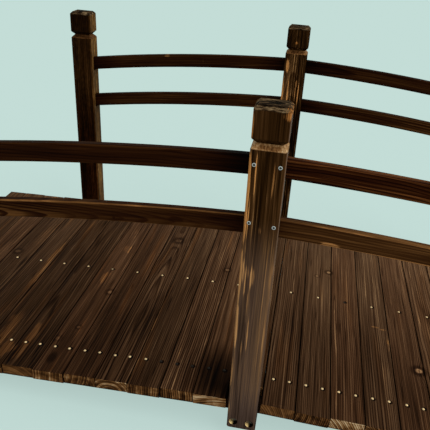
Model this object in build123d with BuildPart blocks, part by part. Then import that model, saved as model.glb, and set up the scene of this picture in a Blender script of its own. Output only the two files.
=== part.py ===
import os
from math import asin, cos, degrees, radians, sin, sqrt, tan

from build123d import *

# Garden moon bridge of charred softwood: two straight half decks that meet at a low ridge,
# three posts a side, and two bowed rails in each bay between the posts.
# Millimetres. X runs along the bridge, Y across it, Z up. The origin is on the ground
# under the middle of the deck.

# Deck planks
plank_width = 55.0
plank_gap = 1.4
plank_thickness = 20.5
plank_length = 617.0
full_planks_each_side = 12
end_plank_width = 44.0
plank_edge_round = 1.1
plank_end_scatter = 1.2

# The two half decks fall away from the ridge at this angle
deck_fall = 2.0

# Beams under the planks, two halves each, meeting under the middle plank
beam_width = 48.0
beam_depth = 40.0
beam_end_inset = 5.0
beam_joint_gap = 0.6
beam_edge_bevel = 2.0
foot_length = 90.0

# Posts
post_width = 48.0
post_depth = 39.0
post_rise = 497.0
post_proud = 3.0
post_edge_bevel = 2.5
end_post_distance = 499.5
end_post_lift = 4.5
cap_height = 51.0
groove_depth = 7.5
cap_bevel = 5.5

# Rails, each bay's boards bowed to one radius and kinked at the middle posts
rail_height = 28.5
rail_thickness = 12.0
rail_setback = 16.0
rail_radius = 3700.0
rail_fall = 1.5
rail_edge_bevel = 1.5
upper_rail_drop = 71.5
rail_spacing = 90.0

# Mortises in the posts and notches in the planks
mortise_depth = 16.0
mortise_play = 0.3
mortise_end_play = 1.0
notch_play = 1.5
least_ear = 6.0

# Bolts that hold the posts to the outer beams
bolt_diameter = 6.0
bolt_hole_play = 0.25
bolt_spacing = 27.0
bolt_above_foot = 13.5
counterbore_diameter = 14.0
counterbore_depth = 10.0
bolt_head_across = 10.0
bolt_head_thickness = 4.0
nut_thickness = 5.0

# Worked out from the sizes above
fall = radians(deck_fall)
pitch = plank_width + plank_gap
deck_half = (full_planks_each_side + 0.5) * pitch + end_plank_width
beam_end_x = (deck_half - beam_end_inset) * cos(fall)
beam_drop = (plank_thickness + beam_depth) / cos(fall)
ridge_z = beam_drop + (beam_end_x - foot_length) * tan(fall)
rail_side_y = plank_length / 2 + post_proud
post_inner_y = rail_side_y - post_depth
middle_plank_top = ridge_z - pitch / 2 * sin(fall)
middle_seat_z = middle_plank_top - plank_thickness
groove_height = post_rise - cap_height
upper_rail_top = post_rise - upper_rail_drop
lower_rail_top = upper_rail_top - rail_spacing
hole_radius = bolt_diameter / 2 + bolt_hole_play


def deck_top(x):
    """Height of the sloping deck top over the ground at a distance x from the middle."""
    return ridge_z - abs(x) * tan(fall)


def post_foot(post_x):
    """Height of a post's foot: flush with the beams at the middle, a little higher at the ends."""
    lift = end_post_lift if post_x else 0.0
    return deck_top(post_x) - beam_drop + lift


def rail_centre(top):
    """Centre of the arc of a rail's top edge, which is top over the ridge at the middle."""
    kink = radians(rail_fall)
    return -rail_radius * sin(kink), ridge_z + top - rail_radius * cos(kink)


def rail_arc_z(x, top, inset=0.0):
    """Height of a rail's arc at x: its top edge, or a line a given inset below it."""
    centre_x, centre_z = rail_centre(top)
    return centre_z + sqrt((rail_radius - inset) ** 2 - (x - centre_x) ** 2)


def keep(piece, name):
    piece.part.label = name
    export_step(piece.part, f"parts/{name}.step")


# A plank lies across the beams, notched round any post that stands in its way
def make_plank(number):
    side = 1 if number > 0 else -1
    steps = abs(number)
    width = plank_width
    along = steps * pitch
    if steps > full_planks_each_side:
        width = end_plank_width
        along = deck_half - end_plank_width / 2
    if number == 0:
        origin = (0, plank_end_scatter, middle_plank_top)
        x_dir = (1, 0, 0)
    else:
        shift = plank_end_scatter * sin(2.4 * number)
        origin = (side * along * cos(fall), shift, ridge_z - along * sin(fall))
        x_dir = (cos(fall), 0, -side * sin(fall))
    low_x = side * along * cos(fall) - width / 2
    high_x = low_x + width
    with BuildPart() as plank:
        with BuildSketch(Plane(origin=origin, x_dir=x_dir, z_dir=(0, -1, 0))):
            with Locations((0, -plank_thickness / 2)):
                Rectangle(width, plank_thickness)
            fillet(vertices().group_by(Axis.Y)[-1], plank_edge_round)
        extrude(amount=plank_length / 2, both=True)
        for post_x in (-end_post_distance, 0, end_post_distance):
            cut_low = post_x - post_width / 2 - notch_play
            cut_high = post_x + post_width / 2 + notch_play
            if cut_low < high_x and cut_high > low_x:
                if cut_low - low_x < least_ear:
                    cut_low = min(cut_low, low_x - plank_gap)
                if high_x - cut_high < least_ear:
                    cut_high = max(cut_high, high_x + plank_gap)
                cut_inner = post_inner_y - notch_play
                cut_outer = plank_length / 2 + 2 * plank_end_scatter + 1
                centre_y = (cut_inner + cut_outer) / 2
                with Locations(
                    ((cut_low + cut_high) / 2, centre_y, ridge_z - plank_thickness),
                    ((cut_low + cut_high) / 2, -centre_y, ridge_z - plank_thickness),
                ):
                    Box(
                        cut_high - cut_low,
                        cut_outer - cut_inner,
                        8 * plank_thickness,
                        mode=Mode.SUBTRACT,
                    )
    return plank


# Half a beam, with a level seat for the middle plank and a level foot at its far end
def make_beam(side, centre_y):
    start_x = beam_joint_gap / 2
    seat_run = (ridge_z - plank_thickness / cos(fall) - middle_seat_z) / tan(fall)
    top_end = deck_top(beam_end_x) - plank_thickness / cos(fall)
    with BuildPart() as beam:
        with BuildSketch(Plane.XZ.offset(-centre_y)):
            with BuildLine():
                Polyline(
                    (start_x, middle_seat_z),
                    (seat_run, middle_seat_z),
                    (beam_end_x, top_end),
                    (beam_end_x, 0),
                    (beam_end_x - foot_length, 0),
                    (start_x, ridge_z - beam_drop - start_x * tan(fall)),
                    close=True,
                )
            make_face()
        extrude(amount=beam_width / 2, both=True)
        chamfer(
            beam.faces().sort_by(Axis.X)[-1].edges().filter_by(Axis.Z),
            beam_edge_bevel,
        )
        if abs(centre_y) > beam_width:
            for post_x in (0, end_post_distance):
                foot_z = post_foot(post_x)
                for offset in (-bolt_spacing / 2, bolt_spacing / 2):
                    if post_x + offset > start_x:
                        with Locations(
                            Location((post_x + offset, centre_y, foot_z + bolt_above_foot), (90, 0, 0))
                        ):
                            Hole(hole_radius)
        if side < 0:
            mirror(about=Plane.YZ, mode=Mode.REPLACE)
    return beam


# A post: a stick with bevelled edges cut by its front and side outlines, which give the bevelled cap
# and the V groove, with mortises for the rails and two counterbored bolt holes at the foot
def post_outline(width, foot_z, groove_z, top_z):
    half = width / 2
    right = [
        (half, foot_z),
        (half, groove_z - groove_depth),
        (half - groove_depth, groove_z),
        (half, groove_z + groove_depth),
        (half, top_z - cap_bevel),
        (half - cap_bevel, top_z),
    ]
    left = [(-across, height) for across, height in reversed(right)]
    return right + left


def make_post(post_x, side_y):
    foot_z = post_foot(post_x)
    top_z = foot_z + beam_drop + post_rise
    groove_z = foot_z + beam_drop + groove_height
    centre_y = rail_side_y - post_depth / 2
    rail_y = rail_side_y - rail_setback - rail_thickness / 2
    with BuildPart() as post:
        with BuildSketch(Plane((post_x, -centre_y, foot_z))):
            Rectangle(post_width, post_depth)
            chamfer(vertices(), post_edge_bevel)
        extrude(amount=top_z - foot_z)
        with BuildSketch(Plane((post_x, -centre_y, 0), x_dir=(1, 0, 0), z_dir=(0, -1, 0))):
            with BuildLine():
                Polyline(*post_outline(post_width, foot_z, groove_z, top_z), close=True)
            make_face()
        extrude(amount=post_depth, both=True, mode=Mode.INTERSECT)
        with BuildSketch(Plane((post_x, -centre_y, 0), x_dir=(0, 1, 0), z_dir=(1, 0, 0))):
            with BuildLine():
                Polyline(*post_outline(post_depth, foot_z, groove_z, top_z), close=True)
            make_face()
        extrude(amount=post_width, both=True, mode=Mode.INTERSECT)
        for inward in (-1, 1):
            if abs(post_x + inward * post_width / 2) < end_post_distance:
                mouth_x = post_x + inward * post_width / 2
                for rail_top in (upper_rail_top, lower_rail_top):
                    tip_x = mouth_x - inward * mortise_depth
                    nearer_x, farther_x = sorted((abs(mouth_x), abs(tip_x)))
                    high = rail_arc_z(nearer_x, rail_top) + mortise_play
                    low = rail_arc_z(farther_x, rail_top, rail_height) - mortise_play
                    with Locations((mouth_x, -rail_y, (high + low) / 2)):
                        Box(
                            2 * mortise_depth,
                            rail_thickness + 2 * mortise_play,
                            high - low,
                            mode=Mode.SUBTRACT,
                        )
        for offset in (-bolt_spacing / 2, bolt_spacing / 2):
            with Locations(
                Location((post_x + offset, -rail_side_y, foot_z + bolt_above_foot), (90, 0, 0))
            ):
                CounterBoreHole(hole_radius, counterbore_diameter / 2, counterbore_depth)
        if side_y > 0:
            mirror(about=Plane.XZ, mode=Mode.REPLACE)
    return post


# A rail: a board with bevelled edges, bowed about the centre of its arc. Its square-cut ends
# lean with the arc, so the lower corner leads at the start and the upper one at the far end
def make_rail(side_x, side_y, top):
    centre_x, centre_z = rail_centre(top)
    rail_y = rail_side_y - rail_setback - rail_thickness / 2
    start_x = post_width / 2 - mortise_depth + mortise_end_play
    end_x = end_post_distance - post_width / 2 + mortise_depth - mortise_end_play
    start_turn = asin((start_x - centre_x) / (rail_radius - rail_height))
    end_turn = asin((end_x - centre_x) / rail_radius)
    section_plane = Plane(
        origin=(centre_x, -rail_y, centre_z),
        x_dir=(sin(start_turn), 0, cos(start_turn)),
        z_dir=(cos(start_turn), 0, -sin(start_turn)),
    )
    with BuildPart() as rail:
        with BuildSketch(section_plane):
            with Locations((rail_radius - rail_height / 2, 0)):
                Rectangle(rail_height, rail_thickness)
            chamfer(vertices(), rail_edge_bevel)
        revolve(
            axis=Axis((centre_x, 0, centre_z), (0, 1, 0)),
            revolution_arc=degrees(end_turn - start_turn),
        )
        if side_x < 0:
            mirror(about=Plane.YZ, mode=Mode.REPLACE)
        if side_y > 0:
            mirror(about=Plane.XZ, mode=Mode.REPLACE)
    return rail


# Hexagon-headed bolts through the posts and outer beams, each with a nut on the inner face
def make_bolts(side_y):
    head_y = -rail_side_y + counterbore_depth
    nut_y = -post_inner_y + beam_width
    with BuildPart() as bolts:
        for post_x in (-end_post_distance, 0, end_post_distance):
            bolt_z = post_foot(post_x) + bolt_above_foot
            for offset in (-bolt_spacing / 2, bolt_spacing / 2):
                x = post_x + offset
                with BuildSketch(Plane((x, head_y, bolt_z), x_dir=(1, 0, 0), z_dir=(0, -1, 0))):
                    RegularPolygon(bolt_head_across / 2, 6, major_radius=False)
                extrude(amount=bolt_head_thickness)
                with BuildSketch(Plane((x, head_y, bolt_z), x_dir=(1, 0, 0), z_dir=(0, 1, 0))):
                    Circle(bolt_diameter / 2)
                extrude(amount=nut_y - head_y)
                with BuildSketch(Plane((x, nut_y, bolt_z), x_dir=(1, 0, 0), z_dir=(0, 1, 0))):
                    RegularPolygon(bolt_head_across / 2, 6, major_radius=False)
                extrude(amount=nut_thickness)
        if side_y > 0:
            mirror(about=Plane.XZ, mode=Mode.REPLACE)
    return bolts


os.makedirs("parts", exist_ok=True)

# Planks are numbered from the left end of the deck to the right end
planks_each_side = full_planks_each_side + 1
for number in range(-planks_each_side, planks_each_side + 1):
    keep(make_plank(number), f"deck_plank_{number + planks_each_side + 1:02d}")

beam_lines = {
    "front": -post_inner_y + beam_width / 2,
    "centre": 0.0,
    "back": post_inner_y - beam_width / 2,
}
for line, centre_y in beam_lines.items():
    keep(make_beam(-1, centre_y), f"{line}_beam_left")
    keep(make_beam(1, centre_y), f"{line}_beam_right")

post_places = {"left": -end_post_distance, "middle": 0.0, "right": end_post_distance}
for side_name, side_y in (("front", -1), ("back", 1)):
    for place, post_x in post_places.items():
        keep(make_post(post_x, side_y), f"{side_name}_{place}_post")
    for place, side_x in (("left", -1), ("right", 1)):
        keep(make_rail(side_x, side_y, upper_rail_top), f"{side_name}_upper_rail_{place}")
        keep(make_rail(side_x, side_y, lower_rail_top), f"{side_name}_lower_rail_{place}")
    keep(make_bolts(side_y), f"{side_name}_post_bolts")
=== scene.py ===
import math

import bmesh
import bpy
import numpy as np
from mathutils import Matrix


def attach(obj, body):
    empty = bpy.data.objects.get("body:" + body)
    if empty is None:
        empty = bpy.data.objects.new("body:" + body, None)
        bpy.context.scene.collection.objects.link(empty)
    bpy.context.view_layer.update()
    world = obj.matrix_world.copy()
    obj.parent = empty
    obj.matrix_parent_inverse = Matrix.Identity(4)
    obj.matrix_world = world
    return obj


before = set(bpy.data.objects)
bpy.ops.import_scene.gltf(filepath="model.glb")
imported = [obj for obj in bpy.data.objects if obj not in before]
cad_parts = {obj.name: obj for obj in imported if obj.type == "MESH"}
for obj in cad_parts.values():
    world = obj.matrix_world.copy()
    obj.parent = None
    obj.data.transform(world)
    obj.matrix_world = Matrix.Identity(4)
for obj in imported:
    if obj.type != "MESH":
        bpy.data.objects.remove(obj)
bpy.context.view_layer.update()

print("frame loaded:", len(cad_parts), "nodes")

# Sizes of the bridge that the looks need, in millimetres, as the solids have them
bridge = {
    "plankPitch": 56.4,
    "plankWidth": 55.0,
    "plankThickness": 20.5,
    "planksEachSide": 13,
    "endPlankAt": 727.0,  # the middle of an end plank, along the slope
    "fallDegrees": 2.0,
    "ridge": 83.36,  # height of the deck's ridge
    "nailOffset": 13.8,  # the two nails of a row, from the middle of their plank
    "middleNailRow": 4.5,
    "postWidth": 48.0,
    "postDepth": 39.0,
    "postSide": 292.0,  # the posts' middle, across the bridge
    "postFace": 311.5,
    "endPost": 499.5,  # the end posts' middle, along the bridge
    "endPostDrop": 12.94,
    "grooveOverRidge": 446.0,
    "topOverRidge": 497.0,
    "boltOverFoot": 13.5,
    "boltSpacing": 27.0,
    "footUnderRidge": 60.54,
    "railRadius": 3700.0,
    "railFallDegrees": 1.5,
    "railTop": 425.5,
    "railSpacing": 90.0,
    "railHeight": 28.5,
    "railLine": 289.5,
    "beamLine": 248.5,  # the outer beams' middle, with a nail row over it
}
fall = math.radians(bridge["fallDegrees"])


# Shader wiring
class Wire:
    # an output socket; sums, differences, products and quotients of wires add Math nodes
    def __init__(self, tree, socket):
        self.tree = tree
        self.socket = socket

    def make(self, kind, settings=None, inputs=None, output=0):
        # any node: its settings first, then the values or links of its sockets
        node = self.tree.nodes.new(kind)
        for name, value in (settings or {}).items():
            if name == "stops":
                ramp = node.color_ramp
                while len(ramp.elements) < len(value):
                    ramp.elements.new(0.5)
                for element, (place, colour) in zip(ramp.elements, value):
                    element.position = place
                    element.color = (*colour, 1.0)
            else:
                setattr(node, name, value)
        for place, value in (inputs or {}).items():
            if isinstance(value, Wire):
                self.tree.links.new(value.socket, node.inputs[place])
            else:
                node.inputs[place].default_value = value
        return Wire(self.tree, node.outputs[output])

    def maths(self, operation, *others):
        values = dict(enumerate((self, *others)))
        return self.make("ShaderNodeMath", {"operation": operation}, values)

    def __add__(self, other):
        return self.maths("ADD", other)

    def __sub__(self, other):
        return self.maths("SUBTRACT", other)

    def __rsub__(self, other):
        return self.make("ShaderNodeMath", {"operation": "SUBTRACT"}, {0: other, 1: self})

    def __mul__(self, other):
        return self.maths("MULTIPLY", other)

    def __truediv__(self, other):
        return self.maths("DIVIDE", other)

    def __abs__(self):
        return self.maths("ABSOLUTE")

    __radd__ = __add__
    __rmul__ = __mul__

    def lower(self, other):
        return self.maths("MINIMUM", other)

    def higher(self, other):
        return self.maths("MAXIMUM", other)

    def rounded(self):
        return self.maths("ROUND")

    def fraction(self):
        return self.maths("FRACT")

    def sign(self):
        return self.maths("SIGN")

    def root(self):
        return self.maths("SQRT")

    def rise(self, low, high, start=0.0, end=1.0):
        # smooth step from start to end as the value goes from low to high
        return self.make(
            "ShaderNodeMapRange",
            {"interpolation_type": "SMOOTHSTEP"},
            {0: self, 1: low, 2: high, 3: start, 4: end},
        )

    def match(self, wanted, found=1.0):
        # found where the value is this whole number, else 0
        return abs(self - wanted).rise(0.4, 0.6, found, 0.0)

    def split(self):
        return [self.make("ShaderNodeSeparateXYZ", {}, {0: self}, place) for place in range(3)]

    def luck(self, seed):
        # three even random numbers that stay the same for one value
        shade = self.make("ShaderNodeTexWhiteNoise", {"noise_dimensions": "1D"}, {"W": self + seed}, "Color")
        return [shade.make("ShaderNodeSeparateColor", {}, {0: shade}, place) for place in range(3)]

    def ramp(self, stops):
        return self.make("ShaderNodeValToRGB", {"stops": stops}, {0: self})


def vector(x, y, z):
    source = next(part for part in (x, y, z) if isinstance(part, Wire))
    return source.make("ShaderNodeCombineXYZ", {}, {0: x, 1: y, 2: z})


def howFar(a, b):
    # distance of the point (a, b) from (0, 0)
    return (a * a + b * b).root()


def noise(place, detail=2.0, rough=0.5):
    return place.make(
        "ShaderNodeTexNoise",
        {"noise_dimensions": "3D"},
        {"Vector": place, "Scale": 1.0, "Detail": detail, "Roughness": rough},
    )


def blendColours(factor, first, second):
    # sockets 6 and 7 of a Mix node are its two colours, and output 2 is the mixed one
    settings = {"data_type": "RGBA", "blend_type": "MIX"}
    ends = [end if isinstance(end, Wire) else (*end, 1.0) for end in (first, second)]
    return factor.make("ShaderNodeMix", settings, {0: factor, 6: ends[0], 7: ends[1]}, 2)


def tinted(colour, tint):
    # colour times a constant tint
    return colour.make("ShaderNodeVectorMath", {"operation": "MULTIPLY"}, {0: colour, 1: tint})


def scaled(place, size):
    return place.make("ShaderNodeVectorMath", {"operation": "SCALE"}, {0: place, "Scale": size})


def newMaterial(name):
    material = bpy.data.materials.new(name)
    material.use_nodes = True
    tree = material.node_tree
    tree.nodes.clear()
    start = Wire(tree, None)
    place = start.make("ShaderNodeTexCoord", output="Object")
    return material, start, place


def millimetres(place):
    return [part * 1000 for part in place.split()]


def facing(start):
    # the three parts of the surface's normal
    return start.make("ShaderNodeNewGeometry", output="Normal").split()


def closeMaterial(start, colour, rough, relief, depth, strength, metal=0.0, shine=0.015):
    bump = start.make("ShaderNodeBump", {}, {"Height": relief, "Distance": depth, "Strength": strength})
    inputs = {"Base Color": colour, "Roughness": rough, "Metallic": metal, "Specular IOR Level": shine}
    finishMaterial(start.make("ShaderNodeBsdfPrincipled", {}, {**inputs, "Normal": bump}))


def finishMaterial(surface):
    output = surface.tree.nodes.new("ShaderNodeOutputMaterial")
    surface.tree.links.new(surface.socket, output.inputs["Surface"])


def paint(*parts):
    # a colour as a screen shows it, red, green and blue from 0 to 255, as the linear numbers of shaders
    return tuple(((part / 255 + 0.055) / 1.055) ** 2.4 if part > 10 else part / 3295 for part in parts)


# Charred, brushed and oiled softwood: tones from nearly black to worn golden
deckTones = [
    (0.00, paint(7, 2, 1)),
    (0.22, paint(25, 12, 4)),
    (0.45, paint(51, 32, 17)),
    (0.65, paint(75, 52, 33)),
    (0.86, paint(106, 79, 54)),
    (1.00, paint(154, 120, 82)),
]
endTones = [
    (0.00, paint(14, 6, 1)),
    (0.20, paint(42, 22, 5)),
    (0.42, paint(76, 48, 23)),
    (0.62, paint(118, 80, 43)),
    (0.80, paint(162, 122, 77)),
    (1.00, paint(214, 186, 143)),
]
postTones = [
    (0.00, paint(9, 3, 0)),
    (0.20, paint(33, 17, 2)),
    (0.40, paint(56, 34, 12)),
    (0.58, paint(78, 52, 26)),
    (0.78, paint(128, 92, 54)),
    (1.00, paint(210, 160, 100)),
]
# the near middle post's lower half: worn paler, with a painted grey sheen
postWornSheenTones = [
    (0.00, paint(26, 14, 6)),
    (0.25, paint(66, 48, 35)),
    (0.50, paint(96, 75, 61)),
    (0.72, paint(126, 97, 70)),
    (0.86, paint(172, 128, 82)),
    (1.00, paint(216, 165, 108)),
]
topTones = [
    (0.43, paint(10, 6, 3)),
    (0.51, paint(44, 31, 19)),
    (0.59, paint(96, 77, 52)),
    (0.70, paint(146, 124, 90)),
]
railTones = [
    (0.00, paint(7, 1, 0)),
    (0.20, paint(22, 6, 1)),
    (0.40, paint(42, 19, 5)),
    (0.58, paint(64, 38, 15)),
    (0.78, paint(110, 74, 38)),
    (1.00, paint(190, 134, 78)),
]


def woodGrain(along, across, depth, luck, cut, piths=()):
    # Growth rings are distances from a pith that lies beside the stick, pithTurn round from its side,
    # counted in ring widths. Slow noise waves the pith and crowds the rings, and taper draws them out.
    first, second, third = luck
    away = cut["pithAway"] + first * cut["pithSpread"]
    turn = cut["pithTurn"] + (second - 0.5) * cut["turnSpread"]
    taper = (third - 0.5) * cut["taper"]
    for which, itsAway, itsTurn, itsTaper in piths:
        away = away + which * (itsAway - away)
        turn = turn + which * (itsTurn - turn)
        taper = taper + which * (itsTaper - taper)
    sideways = across + away * turn.maths("COSINE")
    inward = depth + away * turn.maths("SINE")
    wave = noise(vector(along / cut["waveLength"] + first * 40, across * 0.01 + second * 30, depth * 0.01))
    distance = howFar(sideways, inward) + (wave - 0.5) * cut["waver"] + along * taper
    crowd = noise(vector(distance * 0.05 + first * 60, third * 20, second * 10), 1.0)
    fibre = noise(
        vector(along * 0.0055 + second * 20, across * 0.40 + first * 50, depth * 0.40 + third * 20), 3.0, 0.72
    )
    band = noise(
        vector(along * 0.0026 + third * 30, across * 0.075 + second * 40, depth * 0.075 + first * 30), 2.0
    )
    patch = noise(
        vector(along * 0.0050 + first * 25, across * 0.030 + third * 35, depth * 0.030 + second * 35), 2.0
    )
    split = noise(
        vector(along * 0.0022 + first * 15, across * 0.17 + third * 45, depth * 0.17 + second * 25), 1.0
    )
    return {
        "distance": distance + (crowd - 0.5) * 8,
        "fibre": fibre - 0.5,
        "band": band - 0.5,
        "patch": patch - 0.5,
        "crack": abs(split - 0.5).rise(0.006, 0.026, 1.0, 0.0),
        "thread": abs(split - 0.60).rise(0.004, 0.020, 1.0, 0.0),
    }


def addYears(grain, luck, cut):
    # late wood is a dark line that ends each year's ring; each year has a tone of its own
    count = grain["distance"] / (cut["ringWidth"] + luck[2] * cut["ringWidthSpread"])
    inYear = count.fraction()
    grain["late"] = inYear.rise(0.38, 0.84) * inYear.rise(0.90, 1.0, 1.0, 0.0)
    grain["year"] = (count.maths("FLOOR") + luck[0] * 57).luck(2.0)[0] - 0.5
    return grain


def wornSpots(spots, across, along, belongs, rubbed):
    # The strongest of the elliptical worn spots, broken up by the noise rubbed. A spot begins with the
    # numbers of the piece that it is on, which belongs gives for every point, then has its place, half
    # sizes and strength.
    worn = None
    for *which, acrossAt, alongAt, halfAcross, halfAlong, strength in spots:
        away = howFar((across - acrossAt) / halfAcross, (along - alongAt) / halfAlong)
        spot = away.rise(0.2, 1.5, strength, 0.0)
        for value, wanted in zip(belongs, which):
            spot = spot * value.match(wanted)
        worn = spot if worn is None else worn.higher(spot)
    return (worn + rubbed).rise(0.50, 0.95)


# In every look: lengths in millimetres, turns in radians, then the mean tone (0 is black, 1 worn golden) and
# how much each pattern adds to it or takes from it.

# Deck planks: fine grain across the bridge, worn joints, nail hollows, knots, tan end grain
deckLook = {
    "pithAway": 38.0,
    "pithSpread": 80.0,
    "pithTurn": 0.0,
    "turnSpread": 1.9,
    "waveLength": 300.0,
    "waver": 14.0,
    "taper": 0.02,
    "ringWidth": 2.3,
    "ringWidthSpread": 1.4,
    "tone": 0.53,
    "patchy": 0.26,
    "bands": 0.26,
    "fibres": 1.05,
    "years": 0.10,
    "lateDark": 0.27,
    "cracks": 0.22,
    "threads": 0.12,
    "chance": 0.13,
    "farSheen": 0.21,
    "goldenLift": 0.07,
    "wornLift": 0.19,
    "darkDrop": 0.20,
    "nailShade": 0.50,
    "nailShadowShift": 1.7,  # the painted shadow in the hollow round a nail head lies more on its right
    # place along and across the bridge, size, strength; a knot that is given twice pushes the grain more
    "knots": [
        (135.4, 105.2, 5.0, 0.5),
        (300.0, -160.0, 8.0, 0.4),
        (109.4, 83.2, 3.5, 0.45),
        (135.4, 105.2, 5.0, 0.35),
        (-314.2, -75.5, 6.0, 0.55),
        (-332.6, -191.0, 4.0, 0.5),
        (-357.9, -227.3, 5.5, 0.3),
        (-225.9, 151.8, 8.5, 0.50),
        (-576.1, 29.7, 7.0, 0.5),
        (-89.2, 53.9, 5.0, 0.6),
        (300.6, -159.7, 7.0, 0.6),
        (423.0, 40.0, 6.5, 0.6),
        (560.0, -130.0, 7.5, 0.55),
        (-650.0, -180.0, 6.0, 0.55),
    ],
    # front ends: how much lighter, and how strong the rings are
    "frontEnds": {
        -7: (0.05, 0.5),
        -6: (0.08, 1.0),
        -5: (0.03, 1.0),
        -4: (0.15, 1.0),
        -3: (-0.08, 1.0),
        -2: (-0.24, 1.0),
        -1: (0.18, 1.0),
        1: (-0.12, 0.5),
        2: (-0.10, 1.0),
        3: (0.2, 1.0),
    },
    # planks that are lighter or darker than the rest
    "lifts": {
        -9: 0.04, -6: -0.04, -5: -0.05, -4: -0.05, -3: -0.02, 0: -0.05, 1: -0.05, 3: -0.04, 4: 0.06, 5: -0.04
    },
    # plank, how far away its pith is, how far round from its left side towards below, and its taper
    "piths": [
        (-1, 120.0, 1.75, 0.0),
        (-2, 90.0, 0.15, 0.0),
        (-3, 110.0, 0.1, 0.0),
        (-4, 30.0, 1.5, 0.01),
        (-5, 100.0, -0.1, 0.0),
        (-6, 95.0, 0.05, 0.0),
        (-7, 45.0, 1.2, 0.0),
    ],
    # plank, place across and along it, half sizes, strength
    "worn": [
        (-9, 20.0, -40.0, 7.0, 200.0, 1.3),
        (-8, -5.0, -215.0, 22.0, 80.0, 1.15),
        (-8, 12.0, -275.0, 16.0, 40.0, 1.15),
        (-7, -14.0, -250.0, 16.0, 70.0, 1.2),
        (-6, 2.0, 80.0, 16.0, 120.0, 0.54),
        (-6, -6.0, -20.0, 10.0, 60.0, 0.54),
        (-3, -4.0, 60.0, 2.5, 150.0, 0.84),
        (-3, -26.0, -190.0, 2.0, 110.0, 0.9),
        (1, -2.0, -62.0, 22.0, 3.5, 0.84),
        (1, 0.0, -303.0, 24.0, 1.6, 1.0),
        (2, -1.4, 96.0, 2.6, 26.0, 0.80),
        (4, 4.0, -58.5, 10.0, 2.8, 1.2),
        (4, 18.0, -62.5, 10.0, 2.8, 1.2),
        (4, 25.0, -120.0, 4.0, 80.0, 0.65),
    ],
    "dark": [
        (-6, -8.0, -276.0, 11.0, 20.0, 1.05),
    ],
    # broad paler or darker places without a clear edge: plank, across, along, half sizes, how much lighter
    "glows": [
        (-6, 5.0, 45.0, 24.0, 170.0, 0.11),
        (-3, 12.0, 210.0, 24.0, 120.0, 0.05),
        (-2, 5.0, 200.0, 60.0, 170.0, -0.11),
        (-2, 10.0, -80.0, 20.0, 120.0, 0.05),
        (-1, 0.0, 180.0, 45.0, 170.0, -0.04),
        (0, -10.0, 180.0, 35.0, 170.0, -0.04),
    ],
    # a painted shadow of the near middle post on the deck to its left, darkened by char too
    "postShadowAndChar": {"at": (-45.0, -262.0), "narrowed": (0.95, 0.75), "core": 8.0, "edge": 74.0, "dark": 0.40},
}


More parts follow.
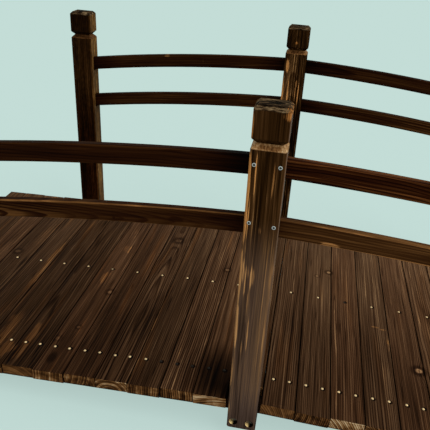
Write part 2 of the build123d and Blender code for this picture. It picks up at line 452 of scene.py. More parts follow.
def plankMaterial():
    material, start, place = newMaterial("charredPlank")
    x, y, z = millimetres(place)
    normalX, normalY, normalZ = facing(start)
    slope = x / math.cos(fall)
    number = (slope / bridge["plankPitch"]).rounded()
    across = slope - number * bridge["plankPitch"]
    depth = z + abs(x) * math.tan(fall) - bridge["ridge"]
    luck = (number * 1.37).luck(11.3)
    piths = [(number.match(plank), *pith) for plank, *pith in deckLook["piths"]]
    grain = woodGrain(y, across, depth, luck, deckLook, piths)
    # a knot bends the rings round it, and shows as a dark heart in a paler disc with a dark rim
    knotTone = None
    for knotX, knotY, size, strength in deckLook["knots"]:
        offX, offY = x - knotX, (y - knotY) * 1.1
        away = howFar(offX, offY)
        drawnOut = (offX * offX + offY * offY * 0.08).root()
        grain["distance"] = grain["distance"] + drawnOut.rise(0.0, size * 2.0, size * 0.4, 0.0)
        heart = away.rise(size * 0.10, size * 0.45, 0.6, 1.0) * away.rise(size * 0.50, size * 1.05, 1.0, 0.0)
        rim = away.rise(size * 0.75, size * 1.2) * away.rise(size * 1.3, size * 2.6, 1.0, 0.0)
        mark = heart * (0.42 * strength) - rim * (0.26 * strength)
        knotTone = mark if knotTone is None else knotTone + mark
    grain = addYears(grain, luck, deckLook)
    onTop = normalZ.rise(0.5, 0.8)
    onEnd = abs(normalY).rise(0.6, 0.8)
    # paler towards the far side, calmer on the right, darker at the near middle post, where its shadow on the
    # deck is painted together with char
    # painted sheen: the deck is paler towards the far side, where it is seen at a low angle
    farther = y.rise(-310.0, 320.0)
    dim = x.rise(-260.0, -130.0, 0.10, 0.0) + x.rise(-60.0, 60.0, 0.03, 0.0)
    # painted shadow of the near middle post on the deck to its left, with char
    shadowAndCharSpot = deckLook["postShadowAndChar"]
    shadowAndCharX, shadowAndCharY = ((part - at) * size for part, at, size in zip((x, y), shadowAndCharSpot["at"], shadowAndCharSpot["narrowed"]))
    postShadowAndChar = howFar(shadowAndCharX, shadowAndCharY).rise(shadowAndCharSpot["core"], shadowAndCharSpot["edge"], shadowAndCharSpot["dark"], 0.0)
    lined = luck[1].rise(0.1, 0.9, 0.8, 1.4) * (1.0 - farther * 0.45)
    calm = x.rise(-110.0, -50.0, 1.0, 0.76)
    farCorner = x.rise(-640.0, -560.0, 1.0, 0.0) * y.rise(140.0, 260.0, 0.0, 0.09)
    tone = (
        deckLook["tone"]
        + grain["patch"] * deckLook["patchy"]
        + grain["band"] * deckLook["bands"] * calm
        + grain["fibre"] * deckLook["fibres"] * calm * lined.rise(0.3, 1.5, 0.85, 1.15)
        + grain["year"] * deckLook["years"]
        - (grain["late"] - 0.3) * (grain["year"] * 0.2 + deckLook["lateDark"]) * lined * calm
        - grain["crack"] * deckLook["cracks"]
        + grain["thread"] * deckLook["threads"]
        + (luck[0] - 0.5) * deckLook["chance"]
        + farther * deckLook["farSheen"]
        + farCorner
        - x.rise(-560.0, -470.0, 0.035, 0.0)
        - dim
        - postShadowAndChar
    )
    for plank, lift in deckLook["lifts"].items():
        tone = tone + number.match(plank, lift)
    for plank, acrossAt, alongAt, halfAcross, halfAlong, lift in deckLook["glows"]:
        away = howFar((across - acrossAt) / halfAcross, (y - alongAt) / halfAlong)
        tone = tone + away.rise(0.1, 1.2, lift, 0.0) * number.match(plank)
    # dark joints, with a worn line on the right arris of each plank
    chafe = noise(vector(x * 0.02, y * 0.012, z * 0.05), 3.0).rise(0.50, 0.66)
    edge = bridge["plankWidth"] / 2
    joint = abs(across).rise(edge - 0.7, edge - 0.1)
    wornJoint = across.rise(edge - 2.9, edge - 1.9) * across.rise(edge - 1.3, edge - 0.7, 1.0, 0.0) * chafe
    tone = tone - joint * 0.10 + wornJoint * onTop * x.rise(0.0, 60.0, 0.24, 0.13) + knotTone
    gold = noise(vector(y * 0.0042 + luck[1] * 20, across * 0.055 + luck[0] * 9, luck[2] * 30))
    golden = gold.rise(0.56, 0.70) * x.rise(0.0, 80.0, 1.0, 0.35)
    rubbed = grain["fibre"] + (chafe - 0.5) * 0.6
    worn = wornSpots(deckLook["worn"], across, y, [number], rubbed) * onTop
    smudge = wornSpots(deckLook["dark"], across, y, [number], grain["fibre"] * 2.6) * onTop
    # the hollow round each nail head is painted dark as its shade, shifted to the right as the head's shadow
    fromMiddle = across - deckLook["nailShadowShift"]
    outer = howFar(abs(fromMiddle) - bridge["nailOffset"], abs(y) - bridge["beamLine"])
    hollow = outer.lower(howFar(fromMiddle, y - bridge["middleNailRow"]))
    tone = tone - hollow.rise(2.8, 4.9, deckLook["nailShade"], 0.0) - smudge * deckLook["darkDrop"]
    tone = tone + golden * deckLook["goldenLift"] + worn * deckLook["wornLift"]
    wood = tone.ramp(deckTones)
    wood = blendColours(luck[0].rise(0.55, 1.0) * 0.6, wood, tinted(wood, (1.08, 0.94, 0.88)))
    wood = blendColours((golden * 0.7).higher(worn * 0.85), wood, tinted(wood, (1.24, 0.99, 0.64)))
    # sawn ends
    front = y.rise(-10.0, 10.0, 1.0, 0.0)
    lift = lost = 0.0
    for plank, (itsLift, itsContrast) in deckLook["frontEnds"].items():
        lift = number.match(plank, itsLift) + lift
        if itsContrast < 1.0:
            lost = number.match(plank, 1.0 - itsContrast) + lost
    contrast = 1.0 - front * lost
    endTone = (
        0.61
        + front * lift
        + (noise(vector(across * 0.05 + luck[0] * 30, depth * 0.09, number)) - 0.5) * contrast
        + (luck[2] - 0.5) * 0.34
        + grain["year"] * contrast * 0.40
        - ((grain["late"] - 0.3) * contrast + 0.3) * 0.42
        - depth.rise(-bridge["plankThickness"], -17.0, 0.12, 0.0)
    )
    topLine = depth.rise(-2.6, -1.4) * chafe
    wood = blendColours(onEnd, wood, (endTone + topLine * 0.3).ramp(endTones))
    side = abs(normalX).rise(0.5, 0.8)
    wood = blendColours(side * 0.7, wood, paint(16, 8, 4))
    rough = 0.58 + grain["band"] * 0.3 + grain["late"] * 0.06
    relief = grain["fibre"] * 0.6 - grain["late"] * 0.35 - grain["crack"] * 0.5
    relief = relief - hollow.rise(2.4, 4.6, 0.9, 0.0)
    closeMaterial(start, wood, rough, relief, 0.0006, 0.5)
    return material


# Posts: upright grain, golden streaks and worn arrises, a groove and an arris with painted highlights,
# painted light and shade on the end posts' sides, a weathered top
postLook = {
    "pithAway": 26.0,
    "pithSpread": 40.0,
    "pithTurn": 0.7,
    "turnSpread": 2.6,
    "waveLength": 260.0,
    "waver": 16.0,
    "taper": 0.05,
    "ringWidth": 3.4,
    "ringWidthSpread": 1.6,
    "farPith": (3.0, 0.6, 0.16),  # the far middle post: how far away, how far round, taper
    "tone": 0.30,
    "patchy": 0.45,
    "bands": 0.75,
    "fibres": 1.15,
    "years": 0.16,
    "lateDark": 0.10,
    "cracks": 0.16,
    "threads": 0.22,
    "arrisLift": 0.26,
    "wornLift": 0.48,
    # post along the bridge, side, place across and up it, half width, half height, strength
    "worn": [
        (0, -1, 18.0, 487.0, 8.0, 10.0, 0.95),
        (0, -1, 22.5, 488.0, 3.0, 5.0, 1.2),
        (0, -1, -22.8, 385.0, 4.2, 60.0, 1.4),
        (0, -1, -22.6, 335.0, 3.8, 50.0, 1.35),
        (0, -1, -19.0, 345.0, 2.0, 60.0, 0.95),
        (0, -1, -21.0, 250.0, 6.0, 30.0, 1.0),
        (0, -1, -6.0, 245.0, 4.5, 26.0, 0.95),
        (0, -1, -12.5, 252.0, 4.0, 18.0, 0.82),
        (0, -1, -23.0, 240.0, 3.6, 60.0, 1.2),
        (0, -1, -22.3, 155.0, 4.0, 50.0, 1.2),
        (0, -1, -23.5, 60.0, 2.6, 50.0, 1.1),
        (0, -1, -23.5, -20.0, 2.0, 30.0, 1.0),
        (0, -1, -15.0, 230.0, 1.8, 34.0, 0.9),
        (0, -1, -9.0, 190.0, 1.8, 45.0, 1.15),
        (0, -1, -4.5, 150.0, 1.5, 45.0, 1.1),
        (0, -1, -12.0, 110.0, 1.4, 30.0, 0.9),
        (0, -1, -14.0, 408.0, 1.2, 45.0, 0.85),
        (0, -1, 10.0, 400.0, 1.5, 40.0, 0.8),
        # a painted highlight on the near middle post's right arris
        (0, -1, 23.4, 215.0, 2.4, 80.0, 0.75),
        (0, -1, -23.5, 472.0, 2.2, 24.0, 1.2),
        (0, -1, -3.0, 322.0, 5.0, 9.0, 0.55),
        (0, 1, -17.0, 411.0, 4.5, 20.0, 0.95),
        (0, 1, -22.5, 345.0, 3.5, 60.0, 1.0),
        (0, 1, 8.0, 374.0, 2.6, 10.0, 1.2),
        (0, 1, 6.0, 350.0, 1.8, 24.0, 1.0),
        (0, 1, 13.0, 348.0, 1.8, 24.0, 1.0),
        (0, 1, -10.0, 345.0, 2.5, 50.0, 0.8),
        (0, 1, -2.0, 463.0, 3.0, 4.0, 1.1),
    ],
}


def postMaterial():
    material, start, place = newMaterial("charredPost")
    x, y, z = millimetres(place)
    normalX, _, normalZ = facing(start)
    position = (x / bridge["endPost"]).rounded()
    side = y.sign()
    across = x - position * bridge["endPost"]
    depth = y * side - bridge["postSide"]
    height = z + abs(position) * bridge["endPostDrop"] - bridge["ridge"]
    front = side.rise(-0.5, 0.5, 1.0, 0.0)
    middlePost = position.match(0)
    endPost = 1.0 - middlePost
    nearMiddle = front * middlePost
    farMiddle = (1.0 - front) * middlePost
    luck = (position * 2.3 + side).luck(5.7)
    piths = [(farMiddle, *postLook["farPith"])]
    grain = addYears(woodGrain(height, across, depth, luck, postLook, piths), luck, postLook)
    overGroove = height - bridge["grooveOverRidge"]
    cap = overGroove.rise(3.0, 7.0)
    lively = 1.0 + farMiddle * 0.6 - cap * 0.55 - endPost * 0.35
    near = (abs(across) / (bridge["postWidth"] / 2)).lower(abs(depth) / (bridge["postDepth"] / 2))
    chafe = noise(vector(x * 0.05, y * 0.05, z * 0.014), 3.0)
    speck = noise(vector(x * 0.30, y * 0.30, z * 0.09), 2.0)
    arris = near.rise(0.88, 0.97) * chafe.rise(0.46, 0.62)
    low = height.rise(225.0, 350.0, 1.0, 0.0)
    onRight = normalX.rise(0.5, 0.9)
    # painted light on the end posts: their right-hand faces are lighter, as if lit, and their other faces
    # darker low down, as if shaded
    sideLight = x.rise(-10.0, 10.0, 0.15, 0.0) * (1.0 - front) + 0.17
    farShade = across.rise(-2.0, 14.0, 0.04, -0.12) - height.rise(290.0, 345.0, 0.10, 0.0)
    tone = (
        postLook["tone"]
        + front * 0.02
        + middlePost * 0.03
        + nearMiddle * height.rise(260.0, 330.0) * height.rise(370.0, 420.0, 0.04, 0.0)
        + grain["patch"] * postLook["patchy"]
        + grain["band"] * lively * postLook["bands"]
        + grain["fibre"] * lively * postLook["fibres"]
        + grain["year"] * lively * postLook["years"]
        - grain["late"] * postLook["lateDark"]
        - grain["crack"] * lively * postLook["cracks"]
        + grain["thread"] * lively * postLook["threads"]
        + arris * postLook["arrisLift"]
        + (speck - 0.5) * endPost * 0.45
        # painted light and shade on the end posts' faces
        + onRight * endPost * (sideLight + (chafe - 0.5) * 0.5 + cap * 0.10)
        - onRight * farMiddle * 0.08
        - endPost * height.rise(120.0, 330.0, 0.05, 0.0) * (1.0 - onRight)
        - cap * (0.10 - front * 0.15 + front * across.rise(-2.0, 14.0) * 0.06)
        + farMiddle * farShade * (1.0 - cap)
    )
    rubbed = grain["fibre"] * 1.6 + (chafe - 0.5) * 1.8
    worn = wornSpots(postLook["worn"], across, height, [position, side], rubbed)
    # worn spots are on the faces across the bridge, and fade out round the corner
    worn = worn * abs(depth).rise(12.0, 17.0, 0.2, 1.0).higher(cap * across.rise(-5.0, 5.0))
    wood = (tone + worn * postLook["wornLift"]).ramp(postTones)
    reddish = endPost * height.rise(180.0, 330.0, 1.0, 0.15) * (1.0 - onRight)
    wood = blendColours(reddish, wood, tinted(wood, (1.14, 0.82, 0.84)))
    wood = blendColours(endPost * onRight, wood, tinted(wood, (1.0, 1.03, 0.80)))
    wood = blendColours((worn + arris * 0.5).lower(1.0), wood, tinted(wood, (1.14, 0.96, 0.76)))
    # the near middle post is paler in its lower half from wear, and greyer from a painted sheen
    wornSheenTone = (
        0.62
        - height.rise(-40.0, 60.0, 0.14, 0.0)
        + grain["patch"] * 0.5
        + grain["band"] * 0.35
        + grain["fibre"] * 1.3
        - grain["crack"] * 0.14
        + worn * 0.34
        + arris * 0.12
    )
    wornSheenWood = wornSheenTone.ramp(postWornSheenTones)
    footWood = tinted(wornSheenWood, (0.88, 0.93, 1.05))
    wornSheenWood = blendColours(height.rise(-40.0, 90.0, 1.0, 0.0), wornSheenWood, footWood)
    wood = blendColours(nearMiddle * low * (0.8 + grain["band"] * 1.2).lower(1.0), wood, wornSheenWood)
    # the groove's lower slope, which faces up, is painted pale as a highlight, with a band of saw marks
    groove = abs(overGroove).rise(6.4, 8.0, 1.0, 0.0)
    facingUp = normalZ.rise(0.3, 0.6)
    sawn = overGroove.rise(-6.8, -5.6) * overGroove.rise(-2.6, -1.6, 1.0, 0.0)
    sawn = sawn * abs(across - 1.0).rise(12.0, 16.0, 1.0, 0.0)
    sawLines = noise(vector(x * 1.5, luck[0] * 30, luck[1] * 20), 1.0) - 0.5
    grooveLight = 0.40 + middlePost * 0.20 + nearMiddle * 0.20
    litGroove = grooveLight + grain["fibre"] * 0.9 + (chafe - 0.5) * 0.6 - sawn * (0.16 + sawLines * 0.6)
    wood = blendColours(groove * facingUp, wood, litGroove.ramp(endTones))
    # the top is weathered, with a dark rift in its middle
    top = (height - bridge["topOverRidge"]).rise(-7.0, -5.0)
    weather = noise(vector(x * 0.055, y * 0.24, z * 0.16), 4.0, 0.72)
    rift = abs(depth - 2.0).rise(3.0, 8.0, 1.0, 0.0) * abs(across - 2.0).rise(6.0, 14.0, 1.0, 0.0)
    bleached = weather + 0.012 - rift * 0.11 + front * abs(depth).rise(13.0, 17.0) * 0.07
    wood = blendColours(top, wood, bleached.ramp(topTones))
    wood = blendColours(worn * cap * (0.7 + grain["fibre"] * 1.5), wood, paint(176, 114, 54))
    # the arris of the middle posts next to the right-hand rails has a thin pale painted highlight
    arrisHighlight = middlePost * across.rise(22.8, 23.6) * depth.rise(14.0, 17.0) * height.rise(130.0, 200.0)
    wood = blendColours(arrisHighlight * chafe.rise(0.30, 0.55) * (1.0 - top), wood, paint(118, 96, 78))
    # the walls of the bolts' bores are painted dark as the shade deep in them, with a painted highlight where
    # the light falls on them
    boltHeight = height + bridge["footUnderRidge"] - bridge["boltOverFoot"]
    bore = howFar(abs(across) - bridge["boltSpacing"] / 2, boltHeight).rise(7.2, 7.6, 1.0, 0.0)
    face = bridge["postDepth"] / 2
    inside = abs(depth).rise(face - 0.5, face - 0.1, 1.0, 0.0)
    lit = (normalZ * 0.75 + normalX * 0.65).rise(0.72, 0.97)
    wood = blendColours(bore * inside, wood, blendColours(lit, paint(16, 8, 3), paint(255, 222, 150)))
    rough = 0.52 + grain["band"] * 0.35 + arris * 0.12 + top * 0.35
    relief = grain["fibre"] * 0.6 - grain["late"] * 0.3 - grain["crack"] * 0.4 + weather * top * 1.5
    closeMaterial(start, wood, rough, relief, 0.0006, 0.45)
    return material


# Rails: bowed boards, red-brown and nearly black, with a painted highlight, broken by wear, along the arrises
railLook = {
    "pithAway": 20.0,
    "pithSpread": 50.0,
    "pithTurn": 1.2,
    "turnSpread": 2.4,
    "waveLength": 220.0,
    "waver": 16.0,
    "taper": 0.04,
    "ringWidth": 3.2,
    "ringWidthSpread": 1.6,
    "nearLeftPith": (8.5, 0.36, 0.10),  # the near lower rail on the left: how far away, how far round, taper
    "tone": 0.30,
    "patchy": 0.34,
    "bands": 0.34,
    "fibres": 0.80,
    "years": 0.10,
    "lateDark": 0.10,
    "cracks": 0.08,
    "endShade": 0.18,
    "wornLift": 0.30,
    "darkDrop": 0.13,
    "goldenHighlight": 0.76,
    # level (0 upper, 1 lower), side, place across and along the bridge, half sizes, strength
    "worn": [
        (0, 1, 12.5, -296.0, 3.5, 8.0, 1.0),
        (0, 1, 2.0, -211.0, 9.0, 2.5, 0.7),
        (1, -1, -12.0, 96.0, 5.0, 16.0, 1.1),
        (1, -1, -13.5, 200.0, 2.5, 90.0, 1.0),
        (0, -1, -9.0, -285.0, 3.5, 7.0, 0.7),
        (0, -1, 2.0, -110.0, 3.0, 22.0, 0.5),
    ],
    "dark": [
        (1, -1, -3.0, -122.0, 6.0, 16.0, 1.2),
        (1, -1, -8.0, -214.0, 2.5, 3.0, 1.2),
        (1, -1, 4.0, -60.0, 5.0, 30.0, 0.8),
    ],
}


def railMaterial():
    material, start, place = newMaterial("charredRail")
    x, y, z = millimetres(place)
    half = bridge["railHeight"] / 2
    kink = math.radians(bridge["railFallDegrees"])
    centreX = -bridge["railRadius"] * math.sin(kink)
    centreZ = bridge["ridge"] + bridge["railTop"] - bridge["railRadius"] * math.cos(kink)
    radial = howFar(abs(x) - centreX, z - centreZ) - (bridge["railRadius"] - half)
    level = (radial / -bridge["railSpacing"]).rounded()
    across = radial + level * bridge["railSpacing"]
    side = y.sign()
    depth = y * side - bridge["railLine"]
    luck = (level * 3.1 + x.sign() * 5.3 + side * 11.7).luck(3.9)
    near = y.rise(-10.0, 10.0, 1.0, 0.0)
    far = 1.0 - near
    right = x.rise(-10.0, 10.0)
    upper = 1.0 - level
    nearLeft = near * (1.0 - right)
    lowerLeft = nearLeft * level
    upperLeft = nearLeft * upper
    lowerRight = near * right * level
    upperRight = near * right * upper
    piths = [(lowerLeft, *railLook["nearLeftPith"])]
    grain = addYears(woodGrain(x, across, depth, luck, railLook, piths), luck, railLook)
    # how much lighter each rail is, by its place
    lifted = (
        0.05
        + level * 0.03
        + right * 0.02
        + near * level * 0.04
        + lowerRight * 0.12
        + upperRight * (0.04 + x.rise(80.0, 180.0, -0.03, 0.03))
        - upperLeft * (0.03 + x.rise(-330.0, -250.0, 0.05, 0.0))
        + far * right * level * x.rise(60.0, 260.0, 0.0, 0.05)
        - far * right * upper * 0.07
    )
    cathedral = lowerLeft * x.rise(-330.0, -270.0, 1.0, 0.0) * across.rise(7.0, 11.0, 1.0, 0.2)
    tone = (
        railLook["tone"]
        + lifted
        + grain["patch"] * railLook["patchy"]
        + grain["band"] * (railLook["bands"] - lowerRight * 0.14)
        + grain["fibre"] * (railLook["fibres"] + upperRight * 0.4 - nearLeft * 0.30 - lowerRight * 0.30)
        + grain["year"] * (railLook["years"] + upperRight * 0.14)
        - (grain["late"] - 0.3) * (railLook["lateDark"] + upperRight * 0.16 + cathedral * 0.26)
        - grain["crack"] * railLook["cracks"]
        + 0.06
    )
    # painted shade, darker towards the posts, least so on the near rails on the right
    postShade = abs(abs(x) - bridge["endPost"] / 2).rise(150.0, 232.0, 0.0, railLook["endShade"])
    tone = tone - postShade * (1.0 - near * right * 0.8 + upperLeft * 0.5)
    chafe = noise(vector(x * 0.02, y * 0.05, z * 0.05), 3.0)
    onFlat = abs(across).rise(half - 0.9, half - 0.5)
    outer = abs(depth).rise(3.8, 4.8)
    # the outer arrises carry a painted highlight, broken by wear
    corner = abs(across).rise(half - 1.8, half - 1.0) * outer
    chafed = chafe.rise(0.44, 0.62)
    glow = lowerLeft * (0.20 + chafed * 0.08) + lowerRight * (0.12 + chafed * 0.14)
    glow = glow + upperRight * (chafed * 0.08 + x.rise(150.0, 400.0, 0.0, 0.08))
    flat = lowerRight * x.rise(60.0, 300.0, 0.04, 0.18) + upperRight * 0.05 - far * 0.14 - nearLeft * 0.04
    rubbed = grain["fibre"] * 1.2 + (chafe - 0.5) * 0.8
    worn, dark = (wornSpots(railLook[kind], across, x, [level, side], rubbed) for kind in ("worn", "dark"))
    tone = tone + worn * railLook["wornLift"] - dark * railLook["darkDrop"]
    tone = tone + onFlat * flat * (1.0 - outer) + corner * glow
    # the near lower rail on the left has an even golden painted highlight along its upper arris
    line = lowerLeft * corner * across.rise(-1.0, 1.0)
    tone = tone + line * (railLook["goldenHighlight"] + (chafe - 0.5) * 0.6 - tone) * 0.8
    wood = tone.ramp(railTones)
    wood = blendColours(upperRight, wood, tinted(wood, (1.12, 0.91, 0.82)))
    rough = 0.54 + grain["band"] * 0.3
    relief = grain["fibre"] * 0.6 - grain["late"] * 0.3 - grain["crack"] * 0.4
    closeMaterial(start, wood, rough, relief, 0.0005, 0.45)
    return material


# Beams: darker and plainer than the deck, grain along the bridge
beamLook = {
    "pithAway": 16.0,
    "pithSpread": 40.0,
    "pithTurn": 1.0,
    "turnSpread": 3.0,
    "waveLength": 300.0,
    "waver": 20.0,
    "taper": 0.05,
    "ringWidth": 3.8,
    "ringWidthSpread": 2.0,
    "underRidge": 40.0,  # the beams' middle
    "tone": 0.36,
    "patchy": 0.5,
    "bands": 0.7,
    "fibres": 0.7,
    "years": 0.14,
    "lateDark": 0.12,
    "cracks": 0.16,
}


def beamMaterial():
    material, start, place = newMaterial("charredBeam")
    x, y, z = millimetres(place)
    normalX = facing(start)[0]
    line = (y / bridge["beamLine"]).rounded()
    across = y - line * bridge["beamLine"]
    depth = z + abs(x) * math.tan(fall) - bridge["ridge"] + beamLook["underRidge"]
    luck = (line * 4.7 + x.sign() * 1.9).luck(8.1)
    grain = addYears(woodGrain(x, across, depth, luck, beamLook), luck, beamLook)
    onEnd = abs(normalX).rise(0.6, 0.8)
    tone = (
        beamLook["tone"]
        + grain["patch"] * beamLook["patchy"]
        + grain["band"] * beamLook["bands"]
        + grain["fibre"] * beamLook["fibres"]
        + grain["year"] * beamLook["years"]
        - grain["late"] * beamLook["lateDark"]
        - grain["crack"] * beamLook["cracks"]
    )
    wood = tone.ramp(deckTones)
    endTone = 0.42 + grain["year"] * 0.35 - grain["late"] * 0.28 + grain["patch"] * 0.8
    wood = blendColours(onEnd, wood, endTone.ramp(endTones))
    relief = grain["fibre"] * 0.6 - grain["late"] * 0.3
    closeMaterial(start, wood, 0.62 + grain["band"] * 0.3, relief, 0.0006, 0.45)
    return material


# Zinc-plated bolts, dulled and a little yellow, and darkened as painted shade deep in their bores
steelLook = {"bright": (0.20, 0.18, 0.15), "dull": (0.07, 0.05, 0.03), "spots": 420.0}


def steelMaterial():
    material, start, place = newMaterial("shadedDulledZinc")
    spots = noise(scaled(place, steelLook["spots"]), 3.0)
    colour = blendColours(spots.rise(0.4, 0.65), steelLook["bright"], steelLook["dull"])
    closeMaterial(start, colour, spots.rise(0.3, 0.7, 0.3, 0.55), spots, 0.0002, 0.2, 0.85, 0.5)
    return material


# Nail and screw heads: tone 0 is dark, for burnt-over heads and for painted shade, 1 is bright; brass for the
# nails, zinc for the screws
def headMaterial(name, look):
    material, start, place = newMaterial(name)
    tone = start.make("ShaderNodeAttribute", {"attribute_name": "tone"}, output="Fac")
    spots = noise(scaled(place, look["spots"]))
    shine = (tone + (spots - 0.5) * 0.5).rise(0.1, 0.9)
    colour = blendColours(shine, look["dark"], look["bright"])
    closeMaterial(start, colour, shine.rise(0.0, 1.0, 0.7, 0.34), spots, 0.0001, 0.2, 0.25, 0.2)
    return material


materials = {
    "deck_plank": plankMaterial(),
    "post": postMaterial(),
    "rail": railMaterial(),
    "beam": beamMaterial(),
    "bolts": steelMaterial(),
}
for name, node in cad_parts.items():
    kind = next(word for word in ("deck_plank", "bolts", "rail", "beam", "post") if word in name)
    for slot in node.material_slots:
        slot.material = materials[kind]
print("wood and steel given to", len(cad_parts), "nodes")


# Nail and screw heads
def addHeads(name, centres, slopes, tones, look, material):
    # Each head is a profile (radius, height) turned about its axis: a point is the centre plus the radius
    # times (cosine, sine) of its angle, plus the height along the axis. The rings at both ends have no
    # radius, which closes the shape. The profile's third number is how bright a ring is.
    radius, height, bright = (np.array(column) for column in zip(*look["profile"]))
    around = look["around"]
    angle = np.arange(around) * 2 * np.pi / around
    rings = len(radius)
    u = radius[:, None] * np.cos(angle)
    v = radius[:, None] * np.sin(angle)
    w = np.repeat(height[:, None], around, 1)
    local = np.stack([u, v, w], 2).reshape(-1, 3)
    ring, turn = np.meshgrid(np.arange(rings - 1), np.arange(around), indexing="ij")
    following = (turn + 1) % around
    first, second = ring * around, (ring + 1) * around
    faces = np.stack([first + turn, second + turn, second + following, first + following], 2).reshape(-1, 4)
    points = np.einsum("pk,nkj->npj", local, np.array(slopes)) + np.array(centres)[:, None, :]
    allFaces = faces[None] + (np.arange(len(centres)) * len(local))[:, None, None]
    mesh = bpy.data.meshes.new(name)
    mesh.from_pydata((points.reshape(-1, 3) / 1000).tolist(), [], allFaces.reshape(-1, 4).tolist())
    attribute = mesh.attributes.new("tone", "FLOAT", "POINT")
    attribute.data.foreach_set("value", (np.array(tones)[:, None] * np.repeat(bright, around)[None]).ravel())
    mesh.materials.append(material)
    mesh.validate()
    merge(mesh)
    piece = bpy.data.objects.new(name, mesh)
    bpy.context.scene.collection.objects.link(piece)
    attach(piece, "root")


def merge(mesh):
    # doubles at the poles become one point, and every face is turned outwards
    shape = bmesh.new()
    shape.from_mesh(mesh)
    bmesh.ops.remove_doubles(shape, verts=shape.verts, dist=1e-6)
    bmesh.ops.recalc_face_normals(shape, faces=shape.faces)
    shape.to_mesh(mesh)
    shape.free()


nails = {
    # radius, height, brightness
    "profile": [
        (0.0, 1.25, 1), (1.1, 1.1, 1), (1.9, 0.72, 0.8), (2.6, 0.05, 0.3), (2.6, -0.6, 0.0), (0.0, -0.6, 0.0)
    ],
    "around": 12,
    "bright": (0.84, 0.58, 0.29),
    "dark": (0.010, 0.005, 0.002),
    "spots": 900.0,
    "strayAlong": 0.7,
    "strayAcross": 1.0,
    "tones": [1.0, 0.8, 0.5, 0.15],
    "shares": [0.5, 0.3, 0.14, 0.06],
    "postShadowTone": 0.1,
    "postShadowFrom": -175.0,  # the front row from here to the near middle post is painted dark, as in the post's shadow
    "frontRow": -200.0,  # in front of this the other nails are bright
    "frontTone": 0.85,
    "seed": 4,
}
random = np.random.default_rng(nails["seed"])
centres, slopes, tones = [], [], []
for number in range(-bridge["planksEachSide"], bridge["planksEachSide"] + 1):
    way = int(np.sign(number))
    reach = abs(number) * bridge["plankPitch"]
    if abs(number) == bridge["planksEachSide"]:
        reach = bridge["endPlankAt"]
    places = [(side * bridge["nailOffset"], row * bridge["beamLine"]) for row in (-1, 1) for side in (-1, 1)]
    for offset, y in places + [(0.0, bridge["middleNailRow"])]:
        offset = offset + random.uniform(-nails["strayAlong"], nails["strayAlong"])
        y = y + random.uniform(-nails["strayAcross"], nails["strayAcross"])
        if way == 0:
            height = bridge["ridge"] - bridge["plankPitch"] / 2 * math.sin(fall)
            centres.append((offset, y, height))
            slopes.append(np.eye(3))
        else:
            run = way * reach + offset
            centres.append((run * math.cos(fall), y, bridge["ridge"] - abs(run) * math.sin(fall)))
            cosine, sine = math.cos(way * fall), math.sin(way * fall)
            slopes.append([[cosine, 0, -sine], [0, 1, 0], [sine, 0, cosine]])
        inFront = y < nails["frontRow"]
        # front-row nails in the near middle post's painted shadow are dark
        if inFront and nails["postShadowFrom"] < centres[-1][0] < 0:
            tones.append(nails["postShadowTone"])
        else:
            tone = random.choice(nails["tones"], p=nails["shares"])
            tones.append(max(tone, nails["frontTone"]) if inFront else tone)
addHeads("deck_nails", centres, slopes, tones, nails, headMaterial("burntAndShadedBrassNail", nails))
print("nails:", len(centres))

screws = {
    # radius, height, brightness
    "profile": [
        # the flat middle, at brightness 0, is painted shade for the drive recess, which the head has no
        # hollow for
        (0.0, 0.05, 0), (1.3, 0.05, 0), (1.5, 0.3, 0.3), (1.9, 0.4, 1),
        (2.4, 0.4, 1), (2.8, 0.1, 0.6), (2.8, -0.5, 0), (0.0, -0.5, 0),
    ],
    "around": 16,
    "bright": (0.54, 0.58, 0.56),
    "dark": (0.03, 0.025, 0.02),
    "spots": 900.0,
    "across": 17.0,
    "upper": 418.0,
    "lower": 330.0,
    "leftRise": 2.5,  # the lower ones left of a post sit a little higher
    "endDrop": 48.0,
    "tone": 0.9,
}
centres, slopes, tones = [], [], []
for side in (-1, 1):
    for position in (-1, 0, 1):
        for level in ("upper", "lower"):
            for sign in (-1, 1):
                if position * sign > 0:
                    continue
                drop = abs(position) * screws["endDrop"]
                x = position * bridge["endPost"] + sign * screws["across"]
                z = bridge["ridge"] + screws[level] - drop
                if sign < 0 and level == "lower":
                    z = z + screws["leftRise"]
                centres.append((x, side * bridge["postFace"], z))
                slopes.append([[1, 0, 0], [0, 0, 1], [0, side, 0]])
                tones.append(screws["tone"])
addHeads("rail_screws", centres, slopes, tones, screws, headMaterial("zincScrew", screws))
print("screws:", len(centres))

# Camera, at the photo's angle: angles in radians, place in millimetres, the rest in pixels of the photo
view = {
    "yaw": 0.1314,
    "pitch": 0.4672,
    "roll": 0.0725,
    "place": (42.65, -950.73, 780.45),
    "focal": 546.78,
    "centre": (232.545, 194.54),
    "frame": 430.0,
    "sensor": 36.0,  # in millimetres, as Blender has it
}
turnYaw = Matrix.Rotation(-view["yaw"], 3, "Z")
turnPitch = Matrix.Rotation(view["pitch"], 3, "X")
turnRoll = Matrix.Rotation(view["roll"], 3, "Z")
upright = Matrix([[1, 0, 0], [0, 0, -1], [0, 1, 0]])
look = turnRoll @ turnPitch @ upright @ turnYaw  # rows: to the right, down and away, as the photo has them
cameraData = bpy.data.cameras.new("camera")
cameraData.sensor_width = view["sensor"]
cameraData.lens = view["focal"] * view["sensor"] / view["frame"]
cameraData.shift_x = (view["frame"] / 2 - view["centre"][0]) / view["frame"]
cameraData.shift_y = (view["centre"][1] - view["frame"] / 2) / view["frame"]
camera = bpy.data.objects.new("camera", cameraData)
pose = Matrix([look[0], -look[1], -look[2]]).transposed().to_4x4()
pose.translation = [value / 1000 for value in view["place"]]
camera.matrix_world = pose
bpy.context.scene.collection.objects.link(camera)
bpy.context.scene.camera = camera

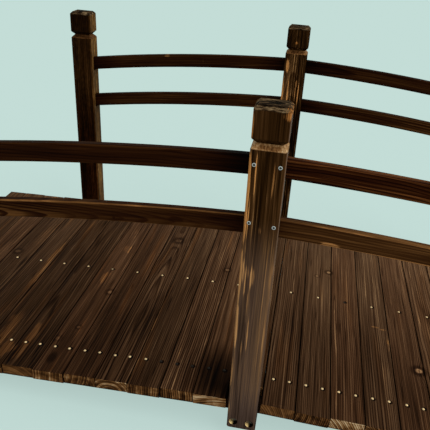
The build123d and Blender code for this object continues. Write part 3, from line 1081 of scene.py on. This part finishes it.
# Floor and light
studio = {
    "floor": (0.552, 0.723, 0.679),
    "floorBounce": (0.30, 0.29, 0.27),
    "floorSize": 40.0,
    "glowShare": 0.74,
    # where the floor's shadow starts to fade, and where it is light: at both ends, in front, behind
    "fadeEnds": (0.74, 0.78),
    "fadeFront": (-0.245, -0.225),
    "fadeBack": (0.33, 0.36),
    "sky": 0.55,
    "sun": 2.0,
    "sunSoftness": 50.0,
    "sunTurn": 72.0,
    "sunTilt": 46.0,
}


def seenDirectly(start):
    # 1 for rays from the camera, and for those that metal or glass sends on, else 0
    direct, glossy, through = (
        start.make("ShaderNodeLightPath", output=f"Is {kind} Ray")
        for kind in ("Camera", "Glossy", "Transmission")
    )
    return direct.higher(glossy).higher(through)


half = studio["floorSize"] / 2
floorMesh = bpy.data.meshes.new("floor")
corners = [(-half, -half, 0), (half, -half, 0), (half, half, 0), (-half, half, 0)]
floorMesh.from_pydata(corners, [], [(0, 1, 2, 3)])
floor = bpy.data.objects.new("floor", floorMesh)
bpy.context.scene.collection.objects.link(floor)
floorMaterial, start, place = newMaterial("paleFloor")
# rays from the camera see a part of the floor's colour as its own glow, so that the shadow on it stays
# light outside the bridge's outline
seen = seenDirectly(start)
floorX, floorY = place.split()[:2]
outside = abs(floorX).rise(*studio["fadeEnds"]).higher(floorY.rise(*studio["fadeFront"], 1.0, 0.0))
outside = outside.higher(floorY.rise(*studio["fadeBack"]))
floorColour = blendColours(seen, studio["floorBounce"], studio["floor"])
matt = start.make("ShaderNodeBsdfDiffuse", {}, {"Color": floorColour})
glow = start.make("ShaderNodeEmission", {}, {"Color": (*studio["floor"], 1.0), "Strength": 1.0})
share = seen * outside * studio["glowShare"]
finishMaterial(start.make("ShaderNodeMixShader", {}, {0: share, 1: matt, 2: glow}))
floorMesh.materials.append(floorMaterial)

world = bpy.data.worlds.new("studio")
world.use_nodes = True
world.node_tree.nodes.clear()
start = Wire(world.node_tree, None)
seen = seenDirectly(start)
skyColour = blendColours(seen, (1, 1, 1), studio["floor"])
brightness = seen.rise(0.0, 1.0, studio["sky"], 1.0)
background = start.make("ShaderNodeBackground", {}, {"Color": skyColour, "Strength": brightness})
output = world.node_tree.nodes.new("ShaderNodeOutputWorld")
world.node_tree.links.new(background.socket, output.inputs["Surface"])
bpy.context.scene.world = world

sunData = bpy.data.lights.new("keyLight", "SUN")
sunData.energy = studio["sun"]
sunData.angle = math.radians(studio["sunSoftness"])
sun = bpy.data.objects.new("keyLight", sunData)
sunTurn = Matrix.Rotation(math.radians(studio["sunTurn"]), 4, "Z")
sun.matrix_world = sunTurn @ Matrix.Rotation(math.radians(studio["sunTilt"]), 4, "X")
bpy.context.scene.collection.objects.link(sun)
bpy.context.scene.view_settings.view_transform = "Standard"
print("camera and light set")
